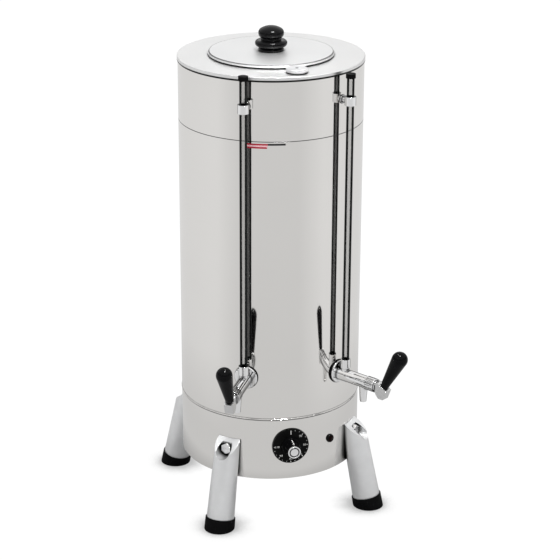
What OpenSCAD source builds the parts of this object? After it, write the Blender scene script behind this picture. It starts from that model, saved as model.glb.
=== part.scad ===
// Coffee urn: a steel body with a water jacket round a coffee tank, two lever taps with level gauges,
// a thermostat, a lift-off lid and four cast legs. Millimetres, +Z up, front towards -Y.
// The origin is on the floor, on the body's axis.

/* [Body] */
// Outer diameter of the round body
body_d = 300; // [292:1:320]
// Thickness of the steel sheet
sheet_t = 1; // [0.8:0.1:1.2]
// Height of the deck's top face over the floor
deck_z = 764; // [750:1:800]
// Height of the upper seam over the floor
high_seam_z = 661; // [640:1:680]
// Height of the lower seam over the floor
low_seam_z = 190; // [186:1:200]
// Height of the skirt's lower edge over the floor
skirt_z = 81; // [76:1:86]
// Depth of the lap inside each seam
lap_h = 14; // [8:1:20]
// Chamfer on the outer edge at each seam
seam_chamfer = 0.6; // [0.3:0.1:0.8]
// Radial play between lapped sheets
lap_gap = 0.1; // [0.05:0.01:0.1]
// Play between a curved seat and the wall it sits on
seat_gap = 0.08; // [0.03:0.01:0.1]
// Diameter of the bead just under the lower seam
bead_d = 1.6; // [1:0.1:1.8]
// Height of the rolled band round the deck
rim_band_h = 7; // [5:0.5:10]
// Width of the skirt's inner flange, which carries the bottom cover
skirt_flange_w = 12; // [11:1:16]

/* [Coffee tank and boiler] */
// Width of the water jacket between the wall and the coffee tank
jacket_w = 36; // [35:0.5:38]
// Rise of the tank floor from its middle to its edge
tank_dish = 6; // [3:0.5:8]
// Height of the coffee outlet over the tank floor's edge
outlet_sill = 3; // [2:0.5:6]
// Width of the deck's ledge between the mouth and the coffee tank's wall
mouth_ledge = 14; // [13:0.5:15]
// Depth of the collar round the mouth
collar_h = 12; // [8:1:20]
// Height of the boiler floor's turned-up edge
floor_edge_h = 11; // [8:1:14]

/* [Heating element] */
// Diameter of the element's tube
heater_d = 8.5; // [6.5:0.5:9]
// Diameter of the loop's centre line
heater_loop_d = 150; // [120:1:170]
// Half of the angle left open between the loop's ends
heater_gap_angle = 15; // [13:1:25]
// Diameter of the element's bushes
heater_bush_d = 12; // [10:1:14]

/* [Fill neck and cap] */
// Gap between the fill neck and the coffee tank
neck_tank_gap = 1; // [0.5:0.1:4]
// Outer diameter of the fill neck
neck_d = 21; // [18:0.5:21]
// Wall of the fill neck
neck_t = 1; // [0.8:0.1:1.5]
// Depth of the fill neck below the deck
neck_drop = 20; // [15:1:40]
// Outer diameter of the fill cap
cap_d = 34; // [33:0.5:40]
// Height of the fill cap
cap_h = 7; // [6.5:0.5:10]
// Diameter of the vent hole in the fill cap
vent_d = 3; // [2:0.5:4]

/* [Lid] */
// Width of the lid's rim that rests on the deck round the mouth
lid_overlap = 2.5; // [2:0.5:5]
// Height of the lid's rim
lid_rim_h = 2.5; // [2:0.5:4]
// Height of the lid's raised disc over the deck
lid_h = 6; // [5:0.5:10]
// Width of the slope from the rim to the raised disc
lid_slope_w = 2; // [1.5:0.5:5]
// Play between the lid's plug ring and the mouth
lid_play = 1.5; // [0.5:0.1:2]
// Diameter of the lid knob's base
knob_base_d = 41; // [38:0.5:44]
// Diameter of the lid knob's lower disc
knob_disc_d = 52; // [46:1:60]
// Thickness of the lid knob's lower disc
knob_disc_t = 10.5; // [9:0.5:12]
// Diameter of the lid knob's upper ball
knob_ball_d = 41.5; // [36:0.5:46]
// Thickness of the lid knob's upper ball
knob_ball_t = 23.5; // [22:0.5:26]
// Thickness of the round edge of the lid knob's upper ball
knob_edge_t = 17; // [15:0.5:19]
// Height of the whole lid knob
lid_knob_h = 40; // [38:0.5:44]
// Diameter of the screw that holds the lid knob
knob_screw_d = 5; // [4:1:6]

/* [Legs and feet] */
// Distance of a leg's axis from the wall, at the height of its bolt
leg_stand = 8.5; // [7:0.5:11]
// Outward lean of the legs in degrees
leg_lean = 12; // [10:1:13]
// Diameter of a leg at its lower end
leg_low_d = 46.5; // [44:0.5:50]
// Diameter of a leg at the height of its head
leg_high_d = 40; // [38:0.5:42]
// Wall of the hollow lower part of a leg
leg_wall = 4; // [3:0.5:6]
// Rise of a leg's head over its bolt, against the skirt
leg_head_rise = 15; // [13:0.5:17]
// Slope of the leg's slanted head in degrees
leg_head_slope = 35; // [30:1:38]
// Height of the leg bolts over the floor
leg_bolt_z = 134; // [131:1:136]
// Thread diameter of the leg bolts
leg_bolt_d = 10; // [8:1:10]
// Width over the flats of the leg bolts and their nuts
leg_bolt_af = 16; // [15:1:17]
// Wall of the leg that the bolt clamps
leg_clamp_t = 7; // [5:0.5:9]
// Diameter of the round pocket for the bolt's head
leg_pocket_d = 25; // [23:0.5:27]
// Wall of the rubber foot
foot_wall = 1.8; // [1.5:0.1:3]
// Sole of the rubber foot at its middle
foot_sole = 9; // [8:0.5:12]
// Height of the rubber foot along the leg
foot_h = 18; // [16:0.5:24]

/* [Bottom cover and cord inlet] */
// Thickness of the bottom cover
cover_t = 1; // [0.8:0.1:2]
// Thread diameter of the cover screws
cover_screw_d = 4; // [3:0.5:4]
// Number of vent slots in the cover
vent_slots = 12; // [8:1:16]
// Height of the cord inlet over the floor
inlet_z = 120; // [110:1:130]
// Diameter of the hole through the cord grommet
inlet_bore_d = 9; // [7:0.5:11]
// Diameter of the grommet's neck
inlet_neck_d = 16; // [14:0.5:18]
// Diameter of the grommet's flanges
inlet_flange_d = 24; // [22:0.5:28]

/* [Thermostat and pilot lamp] */
// Angle of the dial from the front, left is negative
dial_angle = -5.5; // [-10:0.5:0]
// Height of the dial over the floor
dial_z = 140.5; // [136:0.5:142]
// Diameter of the dial plate
dial_d = 61; // [56:1:66]
// Thickness of the dial plate at its middle
dial_t = 2.5; // [2:0.5:5]
// Diameter of the knob's foot
dial_knob_foot_d = 34; // [32:0.5:38]
// Diameter of the knob's grip
dial_grip_d = 27; // [25:0.5:30]
// Length of the knob from the dial plate
dial_knob_l = 24; // [20:0.5:28]
// Diameter of the knob's metal cap
dial_cap_d = 22; // [18:0.5:23]
// Diameter of the thermostat's shaft
shaft_d = 6; // [5:0.5:6]
// Diameter of the thermostat's threaded bush
bush_d = 10; // [9:0.5:11]
// Angle of the pilot lamp from the front
lamp_angle = 23; // [20:1:26]
// Height of the pilot lamp over the floor
lamp_z = 138; // [130:1:142]
// Diameter of the lamp's bezel
lamp_d = 14; // [13:0.5:16]

/* [Level gauges] */
// Outer diameter of the gauge glass
glass_d = 12; // [10:0.5:12]
// Wall of the gauge glass
glass_t = 1.5; // [1:0.1:2]
// Height of the coffee gauge glass's top end
glass_top_z = 758.5; // [740:0.5:765]
// Diameter of the black gauge caps
gauge_cap_d = 15.5; // [14:0.5:18]
// Height of the gauge caps
gauge_cap_h = 7; // [5:0.5:9]
// Gap between the tap's flange and the gauge nut
gauge_gap = 3.4; // [2:0.1:5]
// Wall of the gauge nuts round their thread
gauge_nut_wall = 1.2; // [1:0.1:2.5]
// Height of the gauge bracket's middle
bracket_z = 717; // [700:1:730]
// Diameter of the ring of the bracket
bracket_ring_d = 18; // [17:0.5:20]
// Height of the ring of the bracket
bracket_ring_h = 14; // [10:0.5:18]
// Diameter of the bracket's arm
bracket_arm_d = 9; // [7:0.5:11]

/* [Taps] */
// Angle of the water tap to the left of the front
water_tap_angle = 33.5; // [30:0.5:36]
// Angle of the coffee tap to the right of the front
coffee_tap_angle = 29.5; // [28:0.5:36]
// Height of the coffee tap's shank over the floor
tap_z = 255; // [254:1:258]
// Rise of the water tap over the coffee tap
water_tap_rise = 8; // [0:0.5:10]
// Drop of the barrel's axis below the shank
barrel_drop = 3; // [2:0.5:5]
// Diameter of the barrel
barrel_d = 21; // [20:0.5:23]
// Distance of the barrel's end from the wall
barrel_reach = 70; // [69:0.5:76]
// Diameter of the valve chamber in the barrel
chamber_d = 15; // [14:0.5:16]
// Wall between the gauge well and the valve seat
seat_wall = 8; // [6:0.5:9]
// Diameter of the hole in the valve seat
seat_bore_d = 9; // [7:0.5:9.5]
// Height of the spout's lower end over the floor
spout_z = 217; // [208:1:220]
// Outer diameter of the spout's lower end
spout_d = 11; // [10:0.5:14]
// Outer diameter of the spout where it leaves the barrel
spout_root_d = 16; // [15:0.5:18]
// Bore of the spout
spout_bore_d = 7.5; // [6:0.5:8]
// Thread diameter of the tap's shank
shank_d = 16; // [15:0.5:18]
// Bore of the tap's shank
shank_bore_d = 10; // [8:0.5:10]
// Length of the shank inside the wall
shank_l = 18; // [17.5:0.5:20]
// Diameter of the flange outside the wall
flange_d = 38; // [34:0.5:42]
// Thickness of the flange
flange_t = 2.4; // [2:0.1:4]
// Extra diameter of the gasket round the flange
gasket_lip = 1; // [0.5:0.5:3]
// Thickness of the gasket at its middle
gasket_t = 2; // [1.5:0.1:3]
// Width over the flats of the locknuts inside the wall
locknut_af = 24; // [22:0.5:26]
// Thickness of the locknuts
locknut_t = 6; // [5:0.5:6]
// Diameter of the knurled bonnet
bonnet_d = 23; // [22.5:0.5:26]
// Number of the bonnet's knurl grooves
knurl_count = 18; // [12:1:24]
// Length of the bonnet's knurled grip
bonnet_grip_l = 18; // [16:0.5:22]
// Length of the bonnet's nose, which the lever's cam bears on
bonnet_nose_l = 2.5; // [2:0.5:5]
// Outer diameter of the coffee outlet pipe
pipe_d = 20; // [19.5:0.5:22]

/* [Tap valves and levers] */
// Diameter of the valve stem
stem_d = 6; // [5.5:0.5:6]
// Play between the stem and its guide, each side
stem_play = 0.05; // [0.03:0.01:0.1]
// Diameter of the valve seal
seal_d = 12; // [11:0.5:13]
// Thickness of the valve seal
seal_t = 3; // [2:0.5:4]
// Wire of the closing spring
spring_wire_d = 1; // [0.8:0.1:1.2]
// Mean diameter of the closing spring
spring_d = 10; // [9.5:0.1:10.5]
// Turns of the closing spring
spring_turns = 7; // [5:0.5:8]
// Diameter of the lever pin
pin_d = 4; // [3:0.5:4]
// Pull of the stem in millimetres for each radian of the lever
cam_rate = 6.37; // [5:0.01:6.5]
// Travel of the lever in degrees
lever_travel = 45; // [30:1:45]
// Distance of the cam's flat face from the lever pin
cam_rest = 8.5; // [8:0.1:9]
// Width of the lever block
lever_w = 14; // [13:0.5:18]
// Angle of the handle over the horizontal
handle_angle = 62; // [58:1:66]
// Length of the handle
handle_l = 76; // [66:1:84]
// Diameter of the handle's round end
handle_end_d = 26.5; // [22:0.5:28]
// Diameter of the handle's thin end, at the lever block
handle_low_d = 13.5; // [12:0.5:15]

/* [Hidden] */
$fn = 96;
body_r = body_d / 2;
inner_r = body_r - sheet_t;
lap_r = inner_r - lap_gap;
tank_r = inner_r - jacket_w;
mouth_r = tank_r - mouth_ledge;
deck_under_z = deck_z - sheet_t;
tall = 2 * deck_z;
cut_over = 20;

// Colours of the materials
steel = "gainsboro";
chrome = "lightgray";
cast_metal = "darkgray";
black_plastic = [0.06, 0.06, 0.06];
black_rubber = [0.13, 0.13, 0.13];
clear_glass = [0.85, 0.92, 0.95, 0.5];
dark_lens = [0.25, 0.05, 0.05];
brass = "darkgoldenrod";

// General plays
thread_gap = 0.05;
hole_play = 0.3;

// Boiler floor and tank floor
lap_step = 2;
floor_z = low_seam_z + lap_step;
floor_top_z = floor_z + sheet_t;
tank_wall_z = tap_z - pipe_d / 2 - outlet_sill;
tank_floor_z = tank_wall_z - tank_dish;

// Bottom cover
cover_z = skirt_z - cover_t;
cover_play = 2;
cover_r = inner_r - cover_play;
cover_screw_r = inner_r - skirt_flange_w / 2;
cover_screw_l = 12;
cover_head_d = 1.8 * cover_screw_d;
cover_head_t = 0.6 * cover_screw_d;
cover_screw_angles = [45, 135, 225, 315];
slot_w = 5;
slot_from_r = 60;
slot_to_r = 105;

// Legs
leg_angles = [-45, 45, -135, 135];
leg_head_z = leg_bolt_z + leg_head_rise;
foot_r = body_r + leg_stand + leg_bolt_z * tan(leg_lean);
leg_l = (leg_head_z + leg_head_rise) / cos(leg_lean);
leg_solid_l = 40;
leg_hollow_l = leg_bolt_z - leg_pocket_d / 2 - leg_solid_l;
leg_low_r = leg_low_d / 2;
leg_high_r = leg_high_d / 2;
bolt_head_t = 0.64 * leg_bolt_d;
bolt_nut_t = 0.8 * leg_bolt_d;
bolt_washer_t = 4;
bolt_washer_d = 24;
bolt_end_over = 3;
bolt_seat_x = body_r + leg_clamp_t;
bolt_nut_x = inner_r - bolt_washer_t;

// Heating element
heater_z = (floor_top_z + tank_floor_z) / 2;
heater_loop_r = heater_loop_d / 2;
heater_ends = [90 - heater_gap_angle, 90 + heater_gap_angle];
heater_collar_w = 2;
heater_collar_d = heater_bush_d + 2 * heater_collar_w;
heater_collar_t = 3;
heater_bush_l = 14;
heater_terminal_d = 4;
heater_terminal_l = 24;

// Fill cap
cap_t = 1.2;
cap_guide_play = 0.5;
cap_guide_drop = 5;
neck_r = neck_d / 2;
neck_bore_r = neck_r - neck_t;
neck_rise = 3;
neck_flange_w = 3.5;
neck_flange_r = neck_r + neck_flange_w;
fill_r = tank_r + neck_r + neck_tank_gap;
cap_r = cap_d / 2;

// Lid
lid_r = mouth_r + lid_overlap;
lid_top_z = deck_z + lid_h;
lid_disc_r = lid_r - lid_slope_w;
plug_r = mouth_r - lid_play;
plug_drop = 10;
knob_neck_r = 16.5;
knob_foot_h = 3;
knob_disc_rise = 12;
knob_disc_z = lid_top_z + knob_disc_rise;
knob_ball_z = lid_top_z + lid_knob_h - knob_ball_t / 2;
knob_screw_up = 16;
knob_head_d = 2 * knob_screw_d;
knob_head_t = 0.6 * knob_screw_d;

// Dial, thermostat and lamp
dial_front_x = body_r + dial_t;
bush_nut_wall = 2;
bush_nut_af = bush_d + 2 * bush_nut_wall;
bush_nut_t = 3;
bush_over = 1;
bush_x = dial_front_x + bush_nut_t + bush_over;
thermostat_w = 46;
thermostat_h = 38;
thermostat_l = 36;
thermostat_stand = 10;
thermostat_front_x = body_r - thermostat_stand;
thermostat_back_x = thermostat_front_x - thermostat_l;
thermostat_collar_d = 24;
shaft_short = 8;
shaft_play = 0.05;
shaft_flat = shaft_d / 4;
spindle_depth = 12;
shaft_x = dial_front_x + dial_knob_l - shaft_short;
knob_dial_gap = 0.5;
knob_start_x = dial_front_x + knob_dial_gap;
knob_end_x = dial_front_x + dial_knob_l;
knob_well_play = 3;
knob_well_d = bush_nut_af + 2 * knob_well_play;
knob_well_x = bush_x + bush_over;
knob_foot_l = 5;
foot_x = knob_start_x + knob_foot_l;
cap_step = 1.5;
knob_cap_t = 1.6;
knob_cap_spigot_d = 8;
bulb_r = (tank_r + inner_r) / 2;
bulb_d = 7;
bulb_l = 80;
bulb_rise = 12;
bulb_gland_d = 14;
bulb_gland_t = 4;
bulb_thread_d = 10;
bulb_thread_l = 9;
capillary_d = 2;
lamp_bezel_w = 2;
lamp_lens_step = 0.25;
lamp_body_d = lamp_d - 2 * lamp_bezel_w;
lamp_lens_d = lamp_body_d - 2 * lamp_lens_step;
lamp_bezel_t = 3;
lamp_seat_t = 1.5;
lamp_body_l = 28;
lamp_dome_h = 2;

// Gauges
well_wall = 1;
well_d = glass_d + 2 * well_wall;
gauge_nut_d = well_d + 2 * gauge_nut_wall;
flange_x = body_r + gasket_t;
flange_end_x = flange_x + flange_t;
gauge_x = flange_end_x + gauge_gap + gauge_nut_d / 2;
well_rise = 16;
well_top_z = tap_z + well_rise;
well_bore_d = 7;
socket_depth = 7.5;
socket_z = well_top_z - socket_depth;
socket_play = 0.15;
gauge_seal_h = 3.5;
gauge_nut_lap = 5;
gauge_nut_rise = 10;
gauge_nut_z = well_top_z - gauge_nut_lap;
gauge_nut_top_z = well_top_z + gauge_nut_rise;
gauge_nut_roof_z = well_top_z + gauge_seal_h;
gauge_cap_roof = 2;
gauge_cap_z = glass_top_z + gauge_cap_roof - gauge_cap_h;
gauge_cap_play = 0.1;
ring_play = 0.3;
bracket_foot_lip = 2.5;
bracket_foot_d = bracket_arm_d + 2 * bracket_foot_lip;
bracket_foot_t = 2;
bracket_stud_d = 5;
bracket_stud_l = 9;
bracket_nut_af = 8;
bracket_nut_t = 4;

// Taps, along the tap's own outward axis, with heights of the coffee tap
tap_angles = [-water_tap_angle, coffee_tap_angle];
tap_rises = [water_tap_rise, 0];
barrel_z = tap_z - barrel_drop;
shank_end_x = body_r - shank_l;
flange_rim = 1.2;
seat_x = gauge_x + well_d / 2 + seat_wall;
barrel_end_x = body_r + barrel_reach;
thread_step = 1;
bonnet_thread_d = barrel_d - 2 * thread_step;
bonnet_thread_l = 7;
bonnet_start_x = barrel_end_x - bonnet_thread_l;
spout_x = bonnet_start_x - spout_root_d / 2 - hole_play;
bonnet_grip_end_x = bonnet_start_x + bonnet_grip_l;
bonnet_nose_x = bonnet_grip_end_x + bonnet_nose_l;
bonnet_nose_step = 2.5;
bonnet_nose_d = bonnet_d - 2 * bonnet_nose_step;
knurl_groove_d = 1.6;
cam_play = 0.3;
pin_x = bonnet_nose_x + cam_play + cam_rest;
well_low_z = barrel_z - barrel_d / 2 + thread_step;
tap_washer_t = 4;
locknut_x = inner_r - tap_washer_t;
locknut_end_x = locknut_x - locknut_t;
tap_washer_d = 28;
pipe_nut_gap = 0.5;
pipe_end_x = locknut_end_x - pipe_nut_gap;

// Tap valve
head_x = seat_x + seal_t;
head_t = 3;
head_lip = 0.5;
head_d = seal_d + 2 * head_lip;
seal_spigot_d = 4;
seal_spigot_l = 2;
spring_start_x = head_x + head_t;
spring_l = barrel_end_x - spring_start_x;
spring_sides = 6;
spring_steps = 8;
spring_end_gap = 0.05;
eye_d = 9;
eye_t = 5;
eye_slot_play = 0.3;
flat_l = 14;
pin_play = 0.05;
pin_press = 0.02;

// Lever block and handle
lever_top = 7.5;
lever_low = 18;
lever_toe = 8;
lever_heel = [14.7, -1];
lever_face_w = 20;
slot_room = 5.5;
stud_d = 7;
stud_l = 40;
stud_play = 0.05;
handle_end_r = handle_end_d / 2;
handle_low_r = handle_low_d / 2;

// Turns what is drawn along +X so that it points outward at an angle from the front
module outward(angle, z = 0) {
    rotate([0, 0, angle - 90])
        translate([0, 0, z])
            children();
}

// Same for a tap: 0 is the water tap and 1 is the coffee tap
module at_tap(tap, z = 0) {
    outward(tap_angles[tap], z + tap_rises[tap])
        children();
}

// Round bar along X
module bar(from_x, to_x, d) {
    translate([from_x, 0, 0])
        rotate([0, 90, 0])
            cylinder(d = d, h = to_x - from_x);
}

// Tapered round bar along X
module taper(from_x, to_x, from_d, to_d) {
    translate([from_x, 0, 0])
        rotate([0, 90, 0])
            cylinder(d1 = from_d, d2 = to_d, h = to_x - from_x);
}

// Round tube along X
module ring(from_x, to_x, d, bore) {
    difference() {
        bar(from_x, to_x, d);
        bar(from_x - 1, to_x + 1, bore);
    }
}

// Hexagon bar along X
module hex(from_x, to_x, af) {
    translate([from_x, 0, 0])
        rotate([0, 90, 0])
            cylinder(d = af / cos(30), h = to_x - from_x, $fn = 6);
}

// Upright tube between two heights
module sleeve(low_z, high_z, d, bore) {
    translate([0, 0, low_z])
        difference() {
            cylinder(d = d, h = high_z - low_z);
            translate([0, 0, -1])
                cylinder(d = bore, h = high_z - low_z + 2);
        }
}

// Upright solid round column, used to trim seats to the body's curve
module column(r) {
    cylinder(r = r, h = tall, center = true, $fn = 360);
}

// Hole through the wall at an angle and height
module wall_hole(angle, z, d) {
    outward(angle, z)
        bar(inner_r - cut_over, body_r + cut_over, d);
}

// Sheet ring from a low to a high edge, with an inner lap that hangs into the ring below
module lapped_ring(low_z, high_z) {
    step_z = low_z + lap_step;
    rotate_extrude()
        polygon([
            [body_r - seam_chamfer, low_z], [body_r, low_z + seam_chamfer],
            [body_r, high_z], [inner_r, high_z], [inner_r, step_z],
            [lap_r - sheet_t, step_z], [lap_r - sheet_t, low_z - lap_h],
            [lap_r, low_z - lap_h], [lap_r, low_z]
        ]);
}

module base_skirt() {
    color(steel)
        difference() {
            union() {
                rotate_extrude()
                    polygon([
                        [body_r, skirt_z], [body_r, low_seam_z], [inner_r, low_seam_z],
                        [inner_r, skirt_z + sheet_t],
                        [inner_r - skirt_flange_w, skirt_z + sheet_t], [inner_r - skirt_flange_w, skirt_z]
                    ]);
                rotate_extrude()
                    translate([body_r, low_seam_z - bead_d])
                        circle(d = bead_d);
            }
            for (a = leg_angles)
                wall_hole(a, leg_bolt_z, leg_bolt_d + 2 * hole_play);
            wall_hole(dial_angle, dial_z, bush_d + 2 * hole_play);
            wall_hole(lamp_angle, lamp_z, lamp_body_d + 2 * hole_play);
            wall_hole(180, inlet_z, inlet_neck_d + 2 * seat_gap);
            for (a = cover_screw_angles)
                rotate([0, 0, a])
                    translate([cover_screw_r, 0, 0])
                        sleeve_hole(cover_screw_d + 2 * thread_gap);
        }
}

// Upright hole through the skirt's flange and the bottom cover
module sleeve_hole(d) {
    translate([0, 0, cover_z - cut_over])
        cylinder(d = d, h = cover_t + sheet_t + 2 * cut_over);
}

module body_shell() {
    color(steel)
        difference() {
            lapped_ring(low_seam_z, high_seam_z);
            for (tap = [0, 1])
                wall_hole(tap_angles[tap], tap_z + tap_rises[tap], shank_d + 2 * hole_play);
        }
}

module upper_shell() {
    color(steel)
        difference() {
            lapped_ring(high_seam_z, deck_under_z);
            for (angle = tap_angles)
                wall_hole(angle, bracket_z, bracket_stud_d + 2 * hole_play);
        }
}

module deck() {
    band_r = body_r + lap_gap;
    color(steel)
        difference() {
            rotate_extrude() {
                translate([mouth_r, deck_under_z])
                    square([band_r - mouth_r, sheet_t]);
                translate([mouth_r, deck_z - collar_h])
                    square([sheet_t, collar_h]);
                translate([band_r, deck_z - rim_band_h])
                    square([sheet_t, rim_band_h - sheet_t]);
                translate([band_r, deck_under_z])
                    intersection() {
                        circle(r = sheet_t);
                        square(sheet_t);
                    }
            }
            translate([0, -fill_r, deck_z - cut_over])
                cylinder(d = neck_d + 2 * lap_gap, h = 2 * cut_over);
        }
}

module coffee_tank() {
    color(steel)
        difference() {
            rotate_extrude()
                polygon([
                    [tank_r, tank_wall_z], [tank_r, deck_under_z], [tank_r - sheet_t, deck_under_z],
                    [tank_r - sheet_t, tank_wall_z + sheet_t],
                    [0, tank_floor_z + sheet_t], [0, tank_floor_z]
                ]);
            at_tap(1, tap_z)
                bar(tank_r - 2 * sheet_t, tank_r + cut_over, pipe_d + 2 * lap_gap);
        }
}

module boiler_floor() {
    color(steel)
        difference() {
            rotate_extrude()
                polygon([
                    [0, floor_z], [lap_r, floor_z], [lap_r, floor_z + floor_edge_h],
                    [lap_r - sheet_t, floor_z + floor_edge_h], [lap_r - sheet_t, floor_top_z],
                    [0, floor_top_z]
                ]);
            for (a = heater_ends)
                rotate([0, 0, a])
                    translate([heater_loop_r, 0, floor_z - cut_over])
                        cylinder(d = heater_bush_d + 2 * lap_gap, h = 2 * cut_over);
            outward(dial_angle, floor_z - cut_over)
                translate([bulb_r, 0, 0])
                    cylinder(d = bulb_thread_d + 2 * lap_gap, h = 2 * cut_over);
        }
}

module bottom_cover() {
    color(steel)
        difference() {
            translate([0, 0, cover_z])
                cylinder(r = cover_r, h = cover_t);
            for (a = cover_screw_angles)
                rotate([0, 0, a])
                    translate([cover_screw_r, 0, 0])
                        sleeve_hole(cover_screw_d + 2 * hole_play);
            for (i = [0 : vent_slots - 1])
                rotate([0, 0, 360 * i / vent_slots])
                    translate([slot_from_r, -slot_w / 2, cover_z - cut_over])
                        cube([slot_to_r - slot_from_r, slot_w, 2 * cut_over]);
        }
}

module cover_screws() {
    color(chrome)
        for (a = cover_screw_angles)
            rotate([0, 0, a])
                translate([cover_screw_r, 0, cover_z]) {
                    translate([0, 0, -cover_head_t])
                        cylinder(d = cover_head_d, h = cover_head_t);
                    translate([0, 0, -cover_head_t / 2])
                        cylinder(d = cover_screw_d, h = cover_screw_l + cover_head_t / 2);
                }
}

module cord_grommet() {
    lip_t = 3.5;
    color(black_rubber)
        outward(180, inlet_z)
            difference() {
                bar(inner_r - lip_t, body_r + lip_t, inlet_flange_d);
                difference() {
                    bar(inner_r - 2 * lip_t, body_r + 2 * lip_t, inlet_flange_d + 2);
                    bar(inner_r - 3 * lip_t, body_r + 3 * lip_t, inlet_neck_d);
                    difference() {
                        column(body_r + cut_over);
                        column(body_r + seat_gap);
                    }
                    column(inner_r - seat_gap);
                }
                bar(inner_r - cut_over, body_r + cut_over, inlet_bore_d);
            }
}

module fill_neck() {
    color(steel)
        translate([0, -fill_r, 0]) {
            sleeve(deck_z - neck_drop, deck_z + neck_rise, neck_d, 2 * neck_bore_r);
            sleeve(deck_z, deck_z + sheet_t, 2 * neck_flange_r, 2 * neck_bore_r);
        }
}

module fill_cap() {
    top_z = deck_z + cap_h;
    guide_r = neck_bore_r - cap_guide_play;
    color(chrome)
        translate([0, -fill_r, 0])
            rotate_extrude() {
                polygon([
                    [vent_d / 2, top_z - cap_t], [guide_r - cap_t, top_z - cap_t],
                    [guide_r - cap_t, deck_z - cap_guide_drop], [guide_r, deck_z - cap_guide_drop],
                    [guide_r, top_z - cap_t], [cap_r - cap_t, top_z - cap_t], [cap_r - cap_t, deck_z],
                    [cap_r, deck_z], [cap_r, top_z - cap_t], [cap_r - cap_t, top_z], [vent_d / 2, top_z]
                ]);
                translate([cap_r - cap_t, top_z - cap_t])
                    circle(r = cap_t);
            }
}

module lid() {
    rim_z = deck_z + lid_rim_h;
    color(steel)
        difference() {
            rotate_extrude()
                polygon([
                    [0, lid_top_z], [lid_disc_r, lid_top_z], [lid_r, rim_z], [lid_r, deck_z],
                    [plug_r, deck_z], [plug_r, deck_z - plug_drop], [plug_r - sheet_t, deck_z - plug_drop],
                    [plug_r - sheet_t, lid_top_z - sheet_t], [0, lid_top_z - sheet_t]
                ]);
            translate([0, 0, lid_top_z - cut_over])
                cylinder(d = knob_screw_d + 2 * hole_play, h = 2 * cut_over);
        }
}

// Round-edged disc of a lathe-turned knob, as a half outline
module turned_disc(d, t, z) {
    translate([d / 2 - t / 2, z])
        circle(d = t);
    translate([0, z - t / 2])
        square([d / 2 - t / 2, t]);
}

// Round-edged disc with domed faces that run smoothly into its edge, as a half outline
module domed_disc(d, edge_t, t, z) {
    edge_r = edge_t / 2;
    edge_x = d / 2 - edge_r;
    swell = (t - edge_t) / 2;
    drop = (edge_x * edge_x - swell * swell) / (2 * swell);
    dome_r = t / 2 + drop;
    touch_x = edge_x * dome_r / (dome_r - edge_r);
    translate([edge_x, z])
        circle(r = edge_r);
    intersection() {
        translate([0, z - drop])
            circle(r = dome_r, $fn = 360);
        translate([0, z + drop])
            circle(r = dome_r, $fn = 360);
        translate([0, z - t / 2])
            square([touch_x, t]);
    }
}

module lid_knob() {
    base_r = knob_base_d / 2;
    color(black_plastic)
        difference() {
            rotate_extrude() {
                polygon([
                    [0, lid_top_z], [base_r, lid_top_z], [base_r, lid_top_z + knob_foot_h],
                    [knob_neck_r, knob_disc_z - knob_disc_t / 2 + 1],
                    [knob_neck_r, knob_ball_z], [0, knob_ball_z]
                ]);
                turned_disc(knob_disc_d, knob_disc_t, knob_disc_z);
                domed_disc(knob_ball_d, knob_edge_t, knob_ball_t, knob_ball_z);
            }
            translate([0, 0, lid_top_z - 1])
                cylinder(d = knob_screw_d + 2 * thread_gap, h = knob_screw_up + 2);
        }
}

module lid_knob_screw() {
    under_z = lid_top_z - sheet_t;
    color(chrome) {
        translate([0, 0, under_z - knob_head_t])
            cylinder(d = knob_head_d, h = knob_head_t);
        translate([0, 0, under_z - knob_head_t / 2])
            cylinder(d = knob_screw_d, h = knob_head_t / 2 + sheet_t + knob_screw_up);
    }
}

module heating_element() {
    color(cast_metal) {
        translate([0, 0, heater_z])
            rotate([0, 0, heater_ends[1]])
                rotate_extrude(angle = 360 - 2 * heater_gap_angle)
                    translate([heater_loop_r, 0])
                        circle(d = heater_d);
        for (a = heater_ends)
            rotate([0, 0, a])
                translate([heater_loop_r, 0, 0]) {
                    translate([0, 0, heater_z])
                        sphere(d = heater_d + 1);
                    translate([0, 0, floor_top_z])
                        cylinder(d = heater_d, h = heater_z - floor_top_z);
                    translate([0, 0, floor_top_z])
                        cylinder(d = heater_collar_d, h = heater_collar_t);
                    translate([0, 0, floor_top_z - heater_bush_l])
                        cylinder(d = heater_bush_d, h = heater_bush_l + 1);
                    translate([0, 0, floor_top_z - heater_terminal_l])
                        cylinder(d = heater_terminal_d, h = heater_terminal_l);
                }
    }
}

module thermostat() {
    color(cast_metal)
        outward(dial_angle, dial_z)
            difference() {
                union() {
                    translate([thermostat_back_x, -thermostat_w / 2, -thermostat_h / 2])
                        cube([thermostat_l, thermostat_w, thermostat_h]);
                    intersection() {
                        bar(thermostat_front_x - 1, body_r, thermostat_collar_d);
                        column(inner_r - seat_gap);
                    }
                    bar(thermostat_front_x, bush_x, bush_d);
                }
                bar(thermostat_front_x - spindle_depth, bush_x + 1, shaft_d + 2 * shaft_play);
            }
}

// Spindle that turns in the thermostat, with a flat for the knob
module dial_spindle() {
    color(chrome)
        outward(dial_angle, dial_z)
            difference() {
                bar(thermostat_front_x - spindle_depth + hole_play, shaft_x, shaft_d);
                translate([bush_x + 1, -shaft_d, shaft_flat])
                    cube([shaft_x - bush_x, 2 * shaft_d, shaft_d]);
            }
}

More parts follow.
